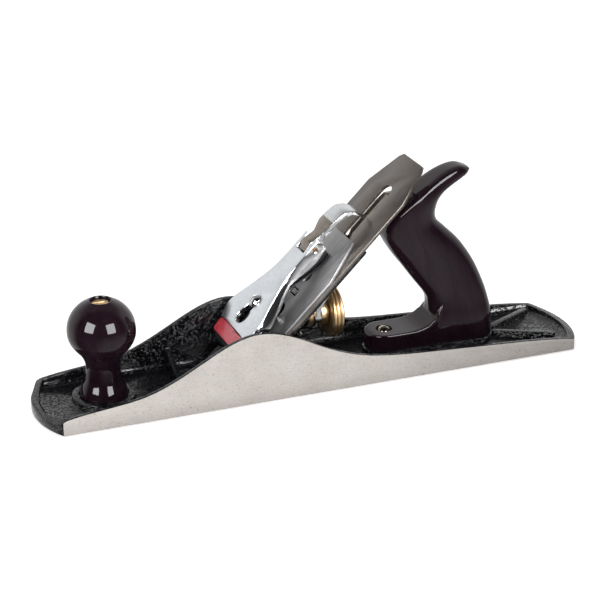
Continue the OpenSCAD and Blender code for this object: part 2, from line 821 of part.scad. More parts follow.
module cap_outline() {
  edge = ease_line(cap_half_knots, 6);
  nose = [[18, 19.5], [20, 20.6], [33, 22]];
  half = concat(nose, edge);
  polygon(concat(half, [for (i = [len(half) - 1 : -1 : 0]) [half[i][0], -half[i][1]]]));
}

// Side view of the outer surface: face, step at the panel, and the lip
module cap_side() {
  across(-40, 40) polygon([
    [17.5, 5.35], [16.6, 6], [16.6, 7.6], [22.6, 16.5], [24, 18.6], [33, 18.9],
    [34, face_n], [ear_end_s + 5, face_n], [ear_end_s + 5, 5.35]
  ]);
}

module lever_cap() {
  color("#d5dade") on_bed() difference() {
    intersection() {
      linear_extrude(40) cap_outline();
      cap_side();
    }
    // hollow underside
    translate([0, 0, -1]) linear_extrude(cap_under_n + 1) offset(delta = -cap_wall) intersection() {
      cap_outline();
      translate([26, -40]) square([60, 80]);
    }
    translate([75, -ear_in, -1]) cube([60, 2 * ear_in, cap_under_n + 1]);
    // room for the cam lever between the ears
    translate([96.3, -ear_in, -1]) cube([60, 2 * ear_in, 40]);
    // the flanges rise off the cap iron towards the ears
    across(-40, 40) polygon([
      [31, 0], [31, 7], [37, 12.6], [62, 12.8], [76, 15], [84, 13.2], [91, 11.6], [98, 11],
      [104, 12], [ear_end_s + 6, 13.4], [ear_end_s + 6, 0]
    ]);
    // bevelled lower corners of the face
    both_sides() translate([33.6, 11, face_n]) rotate([0, 0, 60]) rotate([-14, 0, 0])
      translate([-30, 0, 0]) cube([60, 40, 10]);
    // keyhole
    linear_extrude(40) {
      translate([lobe_s, 0]) circle(lobe_r);
      slot_2d(lobe_s, cap_screw_s, neck_half);
    }
    translate([cam_s, 0, cam_n]) rotate([90, 0, 0]) cylinder(h = 30, r = 1.5, center = true);
  }
}

module lever_cap_screw() {
  color("silver") on_bed() translate([cap_screw_s, 0, face_n + 0.2]) {
    dome_screw(4.7, 2.6, 2.95, face_n + 20, 12);
  }
}

spring_s0 = 74;
spring_half = 5;
rivet_r = 1.8;
rivet_n = 9;

module lever_cap_spring() {
  spring_t = 0.8;
  low = 4.3;
  bow = [for (i = [0 : 12]) let (t = i / 12)
    [spring_s0 + 8 + t * 24, 8 + (low - 8) * sin(90 * t * 1.35) / 1]];
  under = concat([[spring_s0 - 5, 11], [spring_s0 + 3, 9.6]], bow);
  above = [for (i = [len(under) - 1 : -1 : 0]) [under[i][0], under[i][1] + spring_t]];
  color("silver") on_bed() difference() {
    across(-spring_half, spring_half) polygon(concat(under, above));
    translate([spring_s0 - 2, 0, 0]) cylinder(h = 20, r = rivet_r);
  }
}

module spring_rivet() {
  color("silver") on_bed() translate([spring_s0 - 2, 0, rivet_n]) {
    cylinder(h = cap_under_n - rivet_n, r = rivet_r);
    cylinder(h = 0.8, r = 3);
  }
}

module cam_lever() {
  lever_half = ear_in - 0.3;
  tip_s = 138.2;
  plan_half = [
    [90, lever_half], [112.5, lever_half], [118, 8.3], [131, 8.6], [136, 7], [tip_s + 0.6, 4.4]
  ];
  plan = concat(plan_half, [for (i = [len(plan_half) - 1 : -1 : 0])
    [plan_half[i][0], -plan_half[i][1]]]);
  top = glide_line([
    [97.2, face_n - 0.7], [104, face_n], [110, 19.3], [114, 19.8], [120, 20], [127, 19.2],
    [132, 17.6], [135.5, 14.2], [137.6, 9.4], [tip_s, 5]
  ], 4);
  under = [
    [tip_s - 1, 3.4], [136, 5], [135.2, 8.8], [133, 13], [129.5, 15.4], [124, 16.6], [114, 16.2],
    [108, 13.6]
  ];
  color("silver") on_bed() difference() {
    union() {
      intersection() {
        across(-12, 12) polygon(concat(top, under, [[cam_s, 12.6], [97.2, 15]]));
        linear_extrude(40) polygon(plan);
      }
      across(-lever_half, lever_half) translate([cam_s, cam_n - 1.6]) circle(5.2);
    }
    translate([cam_s, 0, cam_n]) rotate([90, 0, 0]) cylinder(h = 30, r = 1.53, center = true);
  }
}

module cam_pin() {
  color("silver") on_bed() translate([cam_s, 0, cam_n]) rotate([90, 0, 0])
    cylinder(h = 2 * ear_out - 0.6, r = 1.5, center = true);
}

base_casting();
knob();
knob_bolt();
knob_nut();
tote();
tote_bolt();
tote_nut();
tote_screw();
frog();
frog_screws();
frog_washers();
frog_adjust_screw();
frog_adjust_plate();
plate_screw();
adjuster_stud();
depth_collar();
depth_wheel();
yoke();
yoke_pin();
lateral_lever();
lateral_disc();
lateral_rivet();
lever_cap_screw();
plane_iron();
cap_iron();
cap_iron_screw();
lever_cap();
lever_cap_spring();
spring_rivet();
cam_lever();
cam_pin();
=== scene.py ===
"""Iron bench plane of jack size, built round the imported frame. Metres, +X to the heel, +Z up."""

import math

import bmesh
import bpy
from mathutils import Matrix, Vector


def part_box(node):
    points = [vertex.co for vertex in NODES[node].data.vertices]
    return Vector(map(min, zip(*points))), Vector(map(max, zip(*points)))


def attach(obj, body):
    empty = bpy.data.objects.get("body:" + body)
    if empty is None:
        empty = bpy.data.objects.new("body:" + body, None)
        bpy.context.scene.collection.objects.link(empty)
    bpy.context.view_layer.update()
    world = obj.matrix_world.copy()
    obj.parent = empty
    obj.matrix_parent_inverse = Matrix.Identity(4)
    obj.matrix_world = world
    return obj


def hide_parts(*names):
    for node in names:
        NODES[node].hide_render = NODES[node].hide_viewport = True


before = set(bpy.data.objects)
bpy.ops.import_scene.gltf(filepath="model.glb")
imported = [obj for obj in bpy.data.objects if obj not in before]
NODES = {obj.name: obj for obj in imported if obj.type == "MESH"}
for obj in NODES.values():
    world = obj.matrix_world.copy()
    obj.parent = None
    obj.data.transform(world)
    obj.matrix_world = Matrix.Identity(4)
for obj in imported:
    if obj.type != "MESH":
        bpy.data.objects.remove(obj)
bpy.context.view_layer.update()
MM = 0.001
# The frog's bed: where its plane meets the sole in mm, and the sine and cosine of its 45 degrees
BED_X = -61.65
SLOPE = math.sqrt(0.5)
# The rear handle in mm: top of its pad on the body, and the places of its foot screw and its rod
PAD_TOP = 9.6
FOOT_SCREW_X = 49
ROD_X = 97
ROD_LEAN = -22  # degrees from upright, the rod's top towards the toe


def bed(s, n):
    """X and Z in mm of a point s up the bed and n above it."""
    return (BED_X + (s - n) * SLOPE, (s + n) * SLOPE)


# ---------------------------------------------------------------- materials


class Mat:
    """A node material being put together: a Principled shader and short ways to feed it."""

    def __init__(self, name, color, metallic=0.0, rough=0.4, **extra):
        self.mat = bpy.data.materials.new(name)
        self.mat.use_nodes = True
        self.tree = self.mat.node_tree
        self.bsdf = self.tree.nodes["Principled BSDF"]
        self.set("Base Color", (*color, 1))
        self.set("Metallic", metallic)
        self.set("Roughness", rough)
        for key, value in extra.items():
            self.set(key.replace("_", " "), value)
        self.place = self.node("ShaderNodeTexCoord").outputs["Object"]

    def set(self, key, value):
        self.bsdf.inputs[key].default_value = value

    def node(self, kind, **props):
        n = self.tree.nodes.new(kind)
        for key, value in props.items():
            setattr(n, key, value)
        return n

    def link(self, a, b):
        self.tree.links.new(a, b)

    def stretched(self, scale, turn=(0, 0, 0)):
        """Object coordinates in metres, turned and then scaled per axis."""
        spin = self.node("ShaderNodeMapping")
        spin.inputs["Rotation"].default_value = turn
        self.link(self.place, spin.inputs["Vector"])
        grow = self.node("ShaderNodeMapping")
        grow.inputs["Scale"].default_value = scale
        self.link(spin.outputs[0], grow.inputs["Vector"])
        return grow.outputs[0]

    def axis(self, name):
        """One of the object's coordinates in metres."""
        n = self.node("ShaderNodeSeparateXYZ")
        self.link(self.place, n.inputs[0])
        return n.outputs[name]

    def noise(self, scale, detail=4.0, rough=0.55, vector=None, distortion=0.0):
        n = self.node("ShaderNodeTexNoise")
        n.inputs["Scale"].default_value = scale
        n.inputs["Detail"].default_value = detail
        n.inputs["Roughness"].default_value = rough
        n.inputs["Distortion"].default_value = distortion
        self.link(vector or self.place, n.inputs["Vector"])
        return n.outputs["Fac"]

    def ramp(self, fac, stops):
        n = self.node("ShaderNodeValToRGB")
        while len(n.color_ramp.elements) < len(stops):
            n.color_ramp.elements.new(0.5)
        for element, (at, color) in zip(n.color_ramp.elements, stops):
            element.position = at
            element.color = (*color, 1) if hasattr(color, "__len__") else (color,) * 3 + (1,)
        self.link(fac, n.inputs["Fac"])
        return n.outputs["Color"]

    def spread(self, fac, low, high, start=0.3, end=0.7):
        n = self.node("ShaderNodeMapRange")
        n.inputs["From Min"].default_value = start
        n.inputs["From Max"].default_value = end
        n.inputs["To Min"].default_value = low
        n.inputs["To Max"].default_value = high
        self.link(fac, n.inputs["Value"])
        return n.outputs["Result"]

    def mix(self, fac, a, b, blend="MIX"):
        n = self.node("ShaderNodeMix", data_type="RGBA", blend_type=blend)
        for socket, value in ((n.inputs[0], fac), (n.inputs[6], a), (n.inputs[7], b)):
            if hasattr(value, "links"):
                self.link(value, socket)
            else:
                socket.default_value = (*value, 1) if hasattr(value, "__len__") else value
        return n.outputs[2]

    def color(self, socket):
        self.link(socket, self.bsdf.inputs["Base Color"])

    def rough(self, socket):
        self.link(socket, self.bsdf.inputs["Roughness"])

    def bumps(self, *layers):
        """Bump layers of (height socket, strength, distance in metres), stacked."""
        normal = None
        for height, strength, distance in layers:
            n = self.node("ShaderNodeBump")
            n.inputs["Strength"].default_value = strength
            n.inputs["Distance"].default_value = distance
            self.link(height, n.inputs["Height"])
            if normal:
                self.link(normal, n.inputs["Normal"])
            normal = n.outputs["Normal"]
        self.link(normal, self.bsdf.inputs["Normal"])


def make_ground_iron():
    """Ground cast iron: pale and warm, with grinding lines and small pits, and painted shade that
    darkens it towards the heel.
    """
    m = Mat("ground_iron", (0.44, 0.42, 0.40), metallic=0.1, rough=0.6, Specular_IOR_Level=0.2)
    lines = m.noise(1.0, 3, 0.6, m.stretched((70, 70, 2600)))
    blotch = m.noise(60, 5, 0.65)
    fine = m.noise(1100, 3, 0.7)
    base = m.ramp(blotch, [(0.30, (0.430, 0.395, 0.368)), (0.70, (0.510, 0.482, 0.458))])
    base = m.mix(m.spread(fine, 0.0, 0.5, 0.42, 0.66), base, (0.60, 0.57, 0.54))
    base = m.mix(m.spread(m.noise(800, 2, 0.6), 0.5, 0.0, 0.28, 0.42), base, (0.26, 0.225, 0.20))
    base = m.mix(m.spread(lines, 0.0, 0.22), base, (0.27, 0.245, 0.225))
    # painted shade: the ground iron is drawn darker towards the heel
    base = m.mix(1.0, base, m.spread(m.axis("X"), 1.0, 0.56, 0.03, 0.178), "MULTIPLY")
    pits = m.noise(520, 2, 0.5)
    base = m.mix(m.spread(pits, 0.55, 0.0, 0.245, 0.29), base, (0.15, 0.12, 0.10))
    m.color(base)
    m.rough(m.spread(fine, 0.52, 0.66))
    m.bumps((lines, 0.10, 0.00004), (fine, 0.16, 0.00005))
    return m.mat


def make_japan():
    """Black japanning over rough casting: glossy and orange-peeled, with pimples that glint."""
    m = Mat("japan", (0.006, 0.006, 0.007), rough=0.2, Specular_IOR_Level=0.4)
    grain = m.noise(680, 2, 0.5)
    peel = m.noise(1900, 2, 0.5)
    swell = m.noise(160, 2, 0.5)
    pimples = m.spread(grain, 0.0, 1.0, 0.52, 0.74)
    m.color(m.ramp(grain, [(0.40, (0.002, 0.002, 0.003)), (0.80, (0.010, 0.010, 0.012))]))
    m.rough(m.spread(grain, 0.10, 0.2))
    m.bumps((swell, 0.12, 0.0005), (pimples, 0.8, 0.0005), (peel, 0.15, 0.00008))
    return m.mat


def make_wood():
    """Dark stained hardwood with a faint grain under thick gloss varnish."""
    m = Mat("stained_wood", (0.02, 0.009, 0.012), rough=0.4, Coat_Weight=1.0, Coat_Roughness=0.06,
            Coat_IOR=1.33, Specular_IOR_Level=0.0)
    long_grain = m.noise(1.0, 5, 0.55, m.stretched((110, 110, 18), (0, 0.35, 0)), 0.8)
    pores = m.noise(1.0, 2, 0.5, m.stretched((1500, 1500, 90), (0, 0.35, 0)))
    tone = m.ramp(long_grain, [(0.30, (0.009, 0.0035, 0.006)), (0.52, (0.014, 0.0065, 0.0105)),
                               (0.74, (0.019, 0.0095, 0.0145))])
    m.color(m.mix(m.spread(pores, 0.3, 0.0, 0.34, 0.42), tone, (0.004, 0.002, 0.003)))
    m.rough(m.spread(long_grain, 0.35, 0.5))
    m.bumps((m.noise(60, 2, 0.5), 0.05, 0.0006), (pores, 0.03, 0.00005))
    return m.mat


def make_brass():
    """Turned brass, with fine lathe marks round X and a little tarnish."""
    m = Mat("brass", (0.80, 0.60, 0.36), metallic=1.0, rough=0.24)
    stain = m.noise(120, 4, 0.6)
    turned = m.noise(1.0, 2, 0.5, m.stretched((5200, 200, 200)))
    m.color(m.ramp(stain, [(0.3, (0.55, 0.37, 0.19)), (0.7, (0.72, 0.53, 0.31))]))
    m.rough(m.spread(stain, 0.28, 0.42))
    m.bumps((turned, 0.08, 0.00003), (m.noise(1400, 2, 0.5), 0.03, 0.00003))
    return m.mat


def make_metal(name, dark, light, rough, brush, turn=(0, 0, 0), lines=0.3, metallic=1.0,
               shade=None):
    """Plain or brushed metal. brush is the scale of the brush marks per axis. shade is
    (z0, tone0, z1, tone1): painted light and shade, how dark the metal is drawn at two
    heights in metres."""
    m = Mat(name, light, metallic=metallic, rough=rough[0])
    marks = m.noise(1.0, 4, 0.6, m.stretched(brush, turn))
    cloud = m.noise(55, 4, 0.6)
    base = m.ramp(m.mix(0.5, marks, cloud), [(0.36, dark), (0.64, light)])
    # shade paints light and shade into the colour, darker or lighter by height
    if shade:
        z0, tone0, z1, tone1 = shade
        base = m.mix(1.0, base, m.spread(m.axis("Z"), tone0, tone1, z0, z1), "MULTIPLY")
    m.color(base)
    m.rough(m.spread(cloud, *rough))
    m.bumps((marks, lines, 0.00003), (m.noise(1500, 2, 0.5), 0.06, 0.00003))
    return m.mat


def make_red():
    """Red enamel, cloudy and a little uneven under a thin clear coat."""
    m = Mat("red_enamel", (0.42, 0.012, 0.03), rough=0.3, Coat_Weight=0.7, Coat_Roughness=0.1)
    cloud = m.noise(260, 3, 0.6)
    m.color(m.ramp(cloud, [(0.3, (0.30, 0.008, 0.022)), (0.7, (0.50, 0.030, 0.050))]))
    m.rough(m.spread(cloud, 0.25, 0.42))
    m.bumps((m.noise(900, 3, 0.6), 0.4, 0.00012), (cloud, 0.2, 0.0003))
    return m.mat


BED_TURN = (0, math.radians(45), 0)
GROUND = make_ground_iron()
JAPAN = make_japan()
WOOD = make_wood()
BRASS = make_brass()
# painted shade: the plane iron is drawn darker towards its top
IRON = make_metal("tool_steel", (0.21, 0.185, 0.165), (0.34, 0.305, 0.28), (0.26, 0.40),
                  (70, 2600, 70), BED_TURN, 0.35, 0.9, (0.07, 0.65, 0.12, 0.48))
# painted shade and light: the cap iron is drawn dark low down and lighter higher up
CAP_STEEL = make_metal("dark_brushed_steel", (0.17, 0.168, 0.172), (0.33, 0.325, 0.33),
                       (0.34, 0.46), (70, 2400, 70), BED_TURN, 0.4, 0.6, (0.038, 0.45, 0.072, 1.15))
NICKEL = make_metal("satin_nickel", (0.60, 0.63, 0.66), (0.74, 0.765, 0.79), (0.28, 0.38),
                    (600, 600, 600), (0, 0, 0), 0.12)
CHROME = make_metal("polished_nickel", (0.62, 0.63, 0.65), (0.80, 0.80, 0.81), (0.05, 0.12),
                    (300, 300, 300), (0, 0, 0), 0.04)
# dark plate steel; on the cam lever's front slope it stands as painted reflection
LEVER = make_metal("lever_plate", (0.17, 0.145, 0.12), (0.27, 0.24, 0.21), (0.10, 0.20),
                   (300, 300, 300), (0, 0, 0), 0.06)
STEEL = make_metal("bright_steel", (0.48, 0.49, 0.50), (0.68, 0.69, 0.70), (0.16, 0.28),
                   (900, 900, 900), (0, 0, 0), 0.15)
BLACK_STEEL = make_metal("blackened_steel", (0.02, 0.02, 0.022), (0.07, 0.07, 0.075), (0.25, 0.4),
                         (700, 700, 700), (0, 0, 0), 0.2)
RED = make_red()
PIN_BROWN = make_metal("browned_pin", (0.10, 0.06, 0.03), (0.24, 0.15, 0.08), (0.3, 0.45),
                       (500, 500, 500), (0, 0, 0), 0.1)

# ------------------------------------------------------------------- pieces


def new_piece(name, mesh, body, materials, replaces=()):
    """Puts a mesh in the scene as a visible piece that rides on a body of the frame."""
    ob = bpy.data.objects.new(name, mesh)
    bpy.context.scene.collection.objects.link(ob)
    kinds = [f.material_index for f in mesh.polygons]
    mesh.materials.clear()
    for m in materials:
        mesh.materials.append(m)
    mesh.polygons.foreach_set("material_index", kinds)
    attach(ob, body)
    if replaces:
        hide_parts(*replaces)
    return ob


def smooth(mesh, angle):
    """Shades the mesh smooth, and keeps edges sharper than angle degrees crisp."""
    for p in mesh.polygons:
        p.use_smooth = True
    mesh.set_sharp_from_angle(angle=math.radians(angle))


def apply_all(ob):
    """Applies the object's modifiers to its mesh."""
    bpy.context.view_layer.update()
    graph = bpy.context.evaluated_depsgraph_get()
    mesh = bpy.data.meshes.new_from_object(ob.evaluated_get(graph))
    ob.modifiers.clear()
    old = ob.data
    ob.data = mesh
    bpy.data.meshes.remove(old)
    return mesh


MERGE = 0.02 * MM
FLAT_ANGLE = 0.6  # degrees: faces that meet at less are joined into one
EASE_ANGLE = 30  # degrees: edges sharper than this are rounded
SMOOTH_ANGLE = 40  # degrees: edges sharper than this stay crisp in the shading


def eased(node, width, body, materials, pick=None):
    """A piece with the shape of a CAD node and its edges rounded by width mm. pick gives a face
    its material's index from its centre in mm and its normal."""
    mesh = NODES[node].data.copy()
    bm = bmesh.new()
    bm.from_mesh(mesh)
    bmesh.ops.remove_doubles(bm, verts=bm.verts, dist=MERGE)
    bmesh.ops.dissolve_limit(bm, angle_limit=math.radians(FLAT_ANGLE), verts=bm.verts,
                             edges=bm.edges, delimit=set())
    bmesh.ops.recalc_face_normals(bm, faces=bm.faces)
    for f in bm.faces:
        f.material_index = pick(f.calc_center_median() / MM, f.normal) if pick else 0
        f.smooth = True
    bm.to_mesh(mesh)
    bm.free()
    for stored in ("custom_normal", "sharp_edge"):
        layer = mesh.attributes.get(stored)
        if layer:
            mesh.attributes.remove(layer)
    ob = new_piece(node + "_piece", mesh, body, materials, (node,))
    bevel = ob.modifiers.new("ease", "BEVEL")
    bevel.width = width * MM
    bevel.segments = 2
    bevel.limit_method = "ANGLE"
    bevel.angle_limit = math.radians(EASE_ANGLE)
    bevel.use_clamp_overlap = False
    bevel.harden_normals = False
    bevel.miter_outer = "MITER_ARC"
    smooth(apply_all(ob), SMOOTH_ANGLE)


def lathe(profile, sides, axis_at, axis="Z"):
    """A closed turned mesh: profile is radius and place along the axis in mm, from pole to pole."""
    bm = bmesh.new()
    rings = []
    for r, z in profile:
        if r < 1e-6:
            rings.append([bm.verts.new((0, 0, z * MM))])
        else:
            rings.append([bm.verts.new((r * MM * math.cos(2 * math.pi * k / sides),
                                        r * MM * math.sin(2 * math.pi * k / sides), z * MM))
                          for k in range(sides)])
    for a, b in zip(rings, rings[1:]):
        for k in range(sides):
            k2 = (k + 1) % sides
            loop = [a[k % len(a)], a[k2 % len(a)], b[k2 % len(b)], b[k % len(b)]]
            loop = [v for i, v in enumerate(loop) if v not in loop[:i]]
            if len(loop) > 2:
                bm.faces.new(loop)
    if len(rings[0]) > 1 and len(rings[-1]) > 1:
        a, b = rings[-1], rings[0]
        for k in range(sides):
            bm.faces.new([a[k], a[(k + 1) % sides], b[(k + 1) % sides], b[k]])
    bmesh.ops.recalc_face_normals(bm, faces=bm.faces)
    turn = Matrix.Rotation(math.radians(90), 4, "Y") if axis == "X" else Matrix.Identity(4)
    bm.transform(Matrix.Translation(Vector(axis_at) * MM) @ turn)
    mesh = bpy.data.meshes.new("turned")
    bm.to_mesh(mesh)
    bm.free()
    return mesh


def glide(points, steps):
    """Smooth curve through points of any size, as a list of tuples."""
    out = []
    for i in range(len(points) - 1):
        a, b = points[max(i - 1, 0)], points[i]
        c, d = points[i + 1], points[min(i + 2, len(points) - 1)]
        for k in range(steps + (i == len(points) - 2)):
            t = k / steps
            out.append(tuple(
                0.5 * (2 * q + (r - p) * t + (2 * p - 5 * q + 4 * r - s) * t * t
                       + (3 * q - p - 3 * r + s) * t ** 3)
                for p, q, r, s in zip(a, b, c, d)))
    return out


# ---- front knob


def build_knob():
    """The front knob, turned, with a recess at the top for its nut."""
    low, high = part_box("knob")
    x = (low.x + high.x) / 2 / MM
    r, foot, top = 20.7, 14.4, high.z / MM
    neck, recess, bore, seat, ball_z, nut_z = 10.4, 6.1, 3.3, low.z / MM, 49.5, 60
    side = [(foot, seat + 0.6), (foot, seat + 3.4), (foot - 0.9, 13), (foot - 2.7, 17.6),
            (neck + 0.4, 22.4), (neck, 27), (neck + 0.8, 31), (r - 7, 35.4), (r - 3.2, 39.8),
            (r - 0.7, ball_z - 4.8), (r, ball_z + 0.4), (r - 0.9, ball_z + 6.4),
            (r - 3.6, ball_z + 11.8), (r - 7.8, ball_z + 16.2), (recess + 1.5, top - 0.35),
            (recess + 0.7, top - 0.1)]
    profile = [(bore, seat), (foot - 0.6, seat)] + glide(side, 6)
    profile += [(recess + 0.25, top - 0.2), (recess, top - 0.6), (recess, nut_z + 0.2),
                (recess - 0.2, nut_z), (bore, nut_z)]
    mesh = lathe(profile, 128, (x, 0, 0))
    new_piece("knob_wood", mesh, "base", [WOOD], ("knob",))
    smooth(mesh, 35)


# ---- rear handle

# X and Z of the grip's front and back edges at sixteen stations, from the pad to the horn
TOTE_FRONT = [
    (76.5, PAD_TOP), (77.3, 24), (77.4, 33.5), (74.4, 41), (66.2, 51.7), (58.5, 62), (50.6, 72.5),
    (45.2, 82), (44.6, 89), (47.4, 96.6), (54.6, 102.8), (63.8, 109), (74, 117),
    (84.6, 123.4), (94.6, 126.4), (101.8, 125),
]
TOTE_BACK = [
    (124.2, PAD_TOP), (123.4, 24), (121.1, 34.3), (117.2, 46.1), (110, 61.4), (100.4, 75.4),
    (91, 85), (84.4, 91.4), (82.8, 96), (83.4, 101), (85.4, 106.4), (89.4, 111.2),
    (94, 113.4), (98.6, 115.2), (102.2, 117.2), (104.2, 119.8),
]
# How much of the full thickness each station has
TOTE_SHARE = [1.087, 1.065, 1, 0.97, 0.95, 0.97, 1, 1, 1, 1, 0.98, 0.94, 0.88, 0.8, 0.68, 0.4]
# How square the section is at the front edge and at the back edge of each station
TOTE_FRONT_POWER = [0.25, 0.28, 0.5, 0.74, 0.88, 0.92, 0.85, 0.6, 0.34, 0.26, 0.26, 0.3, 0.36,
                    0.44, 0.56, 0.8]
TOTE_BACK_POWER = [0.62, 0.62, 0.66, 0.74, 0.8, 0.84, 0.84, 0.84, 0.84, 0.84, 0.84, 0.84, 0.84,
                   0.84, 0.84, 0.84]


def build_tote():
    """The rear handle: a swept grip and a foot, joined by a remesh and cut for its screw and rod."""
    steps, sides, half, inset = 8, 56, 11.5, 1.8
    front, back = glide(TOTE_FRONT, steps), glide(TOTE_BACK, steps)
    rows = glide(list(zip(TOTE_SHARE, TOTE_FRONT_POWER, TOTE_BACK_POWER)), steps)
    bm = bmesh.new()
    rings = []
    for (fx, fz), (bx, bz), (share, p_front, p_back) in zip(front, back, rows):
        mid = Vector(((fx + bx) / 2, (fz + bz) / 2))
        reach = Vector(((bx - fx) / 2, (bz - fz) / 2))
        arm = reach * (1 - inset / reach.length)
        ring = []
        for k in range(sides):
            a = 2 * math.pi * k / sides
            ca, sa = math.cos(a), math.sin(a)
            p = p_back if ca > 0 else p_front
            u = math.copysign(abs(ca) ** p, ca)
            v = math.copysign(abs(sa) ** p, sa)
            ring.append(bm.verts.new((
                (mid.x + arm.x * u) * MM, half * share * v * MM, (mid.y + arm.y * u) * MM)))
        rings.append(ring)
    for a, b in zip(rings, rings[1:]):
        for k in range(sides):
            k2 = (k + 1) % sides
            bm.faces.new([a[k], b[k], b[k2], a[k2]])
    bm.faces.new(rings[0])
    bm.faces.new(rings[-1][::-1])
    # the foot's top line: a rounded toe, level, then sweeping up into the grip
    top_line = glide([(36.5, 17), (37.4, 19.2), (39.5, 20.5), (44.5, 21), (54, 21), (64, 21.1),
                      (70, 22), (75, 24), (79, 27.2), (82, 31), (84, 35)], 6)
    # least is the smallest square of the half width, so that the toe isn't a knife edge
    half_w, x0, least, narrow_from, narrowing = 12.5, 36.5, 0.3, 76, 0.16
    prev = None
    for x, top in top_line:
        d = max(x0 + half_w - x, 0)
        w = math.sqrt(max(half_w ** 2 - d * d, least)) - narrowing * max(x - narrow_from, 0)
        row = [bm.verts.new((x * MM, y * MM, z * MM)) for y, z in
               [(-w, PAD_TOP), (-w, top), (w, top), (w, PAD_TOP)]]
        if prev:
            for i in range(4):
                bm.faces.new([prev[i], prev[(i + 1) % 4], row[(i + 1) % 4], row[i]])
        else:
            bm.faces.new(row)
        prev = row
    bm.faces.new(prev[::-1])
    bmesh.ops.recalc_face_normals(bm, faces=bm.faces)
    mesh = bpy.data.meshes.new("tote_wood")
    bm.to_mesh(mesh)
    bm.free()
    ob = bpy.data.objects.new("tote_blank", mesh)
    bpy.context.scene.collection.objects.link(ob)
    shell = ob.modifiers.new("join", "REMESH")
    shell.mode = "VOXEL"
    shell.voxel_size = 0.55 * MM
    soft = ob.modifiers.new("soft", "SMOOTH")
    soft.factor = 0.5
    soft.iterations = 7
    mesh = apply_all(ob)
    # the smoothing has rounded the underside: back onto the pad, flat below
    for v in mesh.vertices:
        if v.co.z < (PAD_TOP + 0.3) * MM:
            v.co.z = PAD_TOP * MM
    rod_axis = (Matrix.Translation((ROD_X * MM, 0, PAD_TOP * MM))
                @ Matrix.Rotation(math.radians(ROD_LEAN), 4, "Y"))
    cutters = []
    for name, profile, place in (
            ("cut_screw", [(0, 18), (4.8, 18), (5, 18.3), (5, 20.6), (5.4, 21.05), (7, 24), (0, 24)],
             Matrix.Translation((FOOT_SCREW_X * MM, 0, 0))),
            ("cut_nut", [(0, 87), (5.2, 87), (5.2, 140), (0, 140)], rod_axis),
            ("cut_rod", [(0, -5), (3.1, -5), (3.1, 88), (0, 88)], rod_axis)):
        cut_mesh = lathe(profile, 64, (0, 0, 0))
        cut_mesh.transform(place)
        cutter = bpy.data.objects.new(name, cut_mesh)
        bpy.context.scene.collection.objects.link(cutter)
        cutters.append(cutter)
        hole = ob.modifiers.new(name, "BOOLEAN")
        hole.operation = "DIFFERENCE"
        hole.solver = "EXACT"
        hole.object = cutter
    mesh = apply_all(ob)
    for cutter in cutters:
        bpy.data.objects.remove(cutter)
    bpy.data.objects.remove(ob)
    new_piece("tote_wood", mesh, "base", [WOOD], ("tote",))
    smooth(mesh, 42)


# ---- depth wheel and other turned parts


def build_wheel():
    """The depth wheel: three rounded ridges round the rim, and a hollow in its rear face."""
    low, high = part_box("depth_wheel")
    x0, x1, r = low.x / MM, high.x / MM, (high.z - low.z) / 2 / MM
    z = (high.z + low.z) / 2 / MM
    t = x1 - x0
    ridges, bore, hollow = 3, 3.25, 1.8
    ridge = t / ridges
    profile = [(bore, 0), (6.2, 0), (6.5, 0.25), (11.5, 0.25), (12.2, 0), (r - ridge / 2, 0)]
    for i in range(ridges):
        centre = (i + 0.5) * ridge
        for k in range(1, 12):
            a = math.pi * k / 12
            profile.append((r - ridge / 2 + ridge / 2 * math.sin(a), centre - ridge / 2 * math.cos(a)))
        if i < ridges - 1:
            profile.append((r - ridge / 2 - 0.55, (i + 1) * ridge))
    profile += [(r - ridge / 2, t), (13.5, t), (13.2, t - 0.3), (12.9, t - hollow),
                (6.9, t - hollow), (6.5, t - 0.3), (6.2, t), (bore, t)]
    mesh = lathe(profile, 144, (x0, 0, z), "X")
    new_piece("depth_wheel_brass", mesh, "depth_wheel", [BRASS], ("depth_wheel",))
    smooth(mesh, 38)


# ---- body, frog, irons, caps: the frame's own shapes with their edges eased
# Where the look of a node changes, in mm
CHEEK_Y = 31.6  # just inside the cheeks' outer faces
SOLE_Z = 0.05  # just above the sole
CAP_FACE_HEIGHT = 20  # above the bed, where the lever cap's satin face starts
LEVER_TIP_S = 122  # up the bed, where the cam lever's front slope ends
NOSE_HEIGHT = 0.5  # above the bed, where the yoke's nose starts


def casting_face(centre, normal):
    """0 japanned, 1 ground: the outside of the cheeks and the sole."""
    cheek = abs(centre.y) > CHEEK_Y and abs(normal.y) > 0.9
    sole = centre.z < SOLE_Z and normal.z < -0.9
    return 1 if cheek or sole else 0


def cap_face(centre, normal):
    """0 satin face, 1 polished sides."""
    bed_normal = Vector((-SLOPE, 0, SLOPE))
    height = (centre.z - (centre.x - BED_X)) * SLOPE
    return 0 if normal.dot(bed_normal) > 0.9 and height > CAP_FACE_HEIGHT else 1


def lever_face(centre, normal):
    """0 bright edges and tip, 1 the darker front slope: painted reflection, a lit and a dark look of
    the one polished lever.
    """
    s = (centre.x - BED_X + centre.z) * SLOPE
    return 1 if s < LEVER_TIP_S and normal.z - normal.x > 1.0 else 0


def yoke_face(centre, normal):
    """0 bright arms, 1 the nose above the bed, which has the look of the cap iron's steel."""
    return 1 if (centre.z - centre.x + BED_X) * SLOPE > NOSE_HEIGHT else 0


